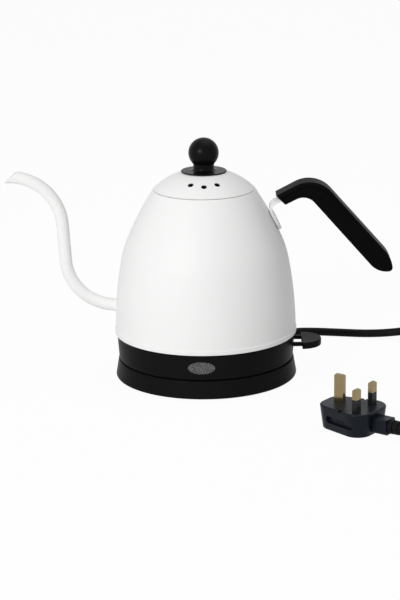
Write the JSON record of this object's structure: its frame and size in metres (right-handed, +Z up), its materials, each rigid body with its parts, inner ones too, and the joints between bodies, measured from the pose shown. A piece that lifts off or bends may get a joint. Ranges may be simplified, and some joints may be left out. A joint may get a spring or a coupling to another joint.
{
  "type": "gooseneck kettle",
  "caption": "Electric pour-over kettle: white steel vessel with a slim gooseneck spout, angled black handle, ball-knob lid and a round power base with lead and plug.",
  "frame": {"origin": "on the worktop under the middle of the power base, on the kettle's axis; the underside of the base plate is 0.6 mm above it, on its feet", "axes": "+Z up, +X towards the handle, -X towards the spout, -Y towards the indicator lens and the viewer"},
  "size_m": [0.4191, 0.3063, 0.1989],
  "materials": {
    "white_enamel": "satin white enamel",
    "black_plastic": "fine satin",
    "black_plate": "matt",
    "handle_plastic": "soft-touch matt",
    "knob_plastic": "satin gloss",
    "black_rubber": "matt",
    "steel": "brushed",
    "aluminium": "plain",
    "contact_brass": "plain",
    "pin_metal": "nickelled",
    "lens_grey": "textured translucent grey",
    "lamp_glass": "clear",
    "plug_plastic": "satin blue-black",
    "sleeve_plastic": "matt",
    "fuse_body": "glazed"
  },
  "bodies": {
    "power_base": {"base_plate": "black_plate", "base_feet": "black_rubber", "base_cover": "black_plastic", "base_screws": "steel", "base_connector": "black_plastic", "connector_contacts": "contact_brass", "cord_gland": "black_rubber", "mains_cord_base": "black_rubber", "mains_cord_plug": "black_rubber", "cord_coil": "black_rubber", "cord_tie": "black_rubber", "plug_body": "plug_plastic", "plug_pins": "pin_metal", "pin_sleeves": "sleeve_plastic", "plug_strain_relief": "black_rubber"},
    "lift_socket": {"connector_socket": "black_plastic"},
    "kettle": {"base_skirt": "black_plastic", "skirt_screws": "steel", "indicator_lens": "lens_grey", "indicator_lamp": "lamp_glass", "steam_switch": "black_plastic", "bimetal_disc": "steel", "steam_tube": "steel", "control_unit": "black_plastic", "heating_element": "steel", "heat_spreader": "aluminium", "vessel_floor": "steel", "vessel_body": "white_enamel", "spout_tube": "white_enamel", "handle_strap": "white_enamel", "handle_lower_grip": "handle_plastic", "handle_top_cover": "handle_plastic", "handle_screws": "steel"},
    "lid": {"lid_shell": "white_enamel", "lid_liner": "steel", "lid_knob": "knob_plastic", "knob_washer": "steel", "knob_screw": "steel"},
    "switch": {"switch_lever": "black_plastic"},
    "fuse_drawer": {"fuse_carrier": "plug_plastic", "fuse": "fuse_body"}
  },
  "joints": [
    {"name": "kettle_lift", "type": "slide", "parent": "power_base", "child": "lift_socket", "axis": [0, 0, 1], "range_m": [0, 0.15]},
    {"name": "kettle_swivel", "type": "hinge", "parent": "lift_socket", "child": "kettle", "pos_m": [0, 0, 0], "axis": [0, 0, 1], "continuous": true},
    {"name": "lid_lift", "type": "slide", "parent": "kettle", "child": "lid", "axis": [0, 0, 1], "range_m": [0, 0.06]},
    {"name": "switch_rock", "type": "hinge", "parent": "kettle", "child": "switch", "pos_m": [0.06, 0, 0.0266], "axis": [0, 1, 0], "range_deg": [0, 12]},
    {"name": "fuse_carrier_slide", "type": "slide", "parent": "power_base", "child": "fuse_drawer", "axis": [0, 0, 1], "range_m": [0, 0.025]}
  ]
}
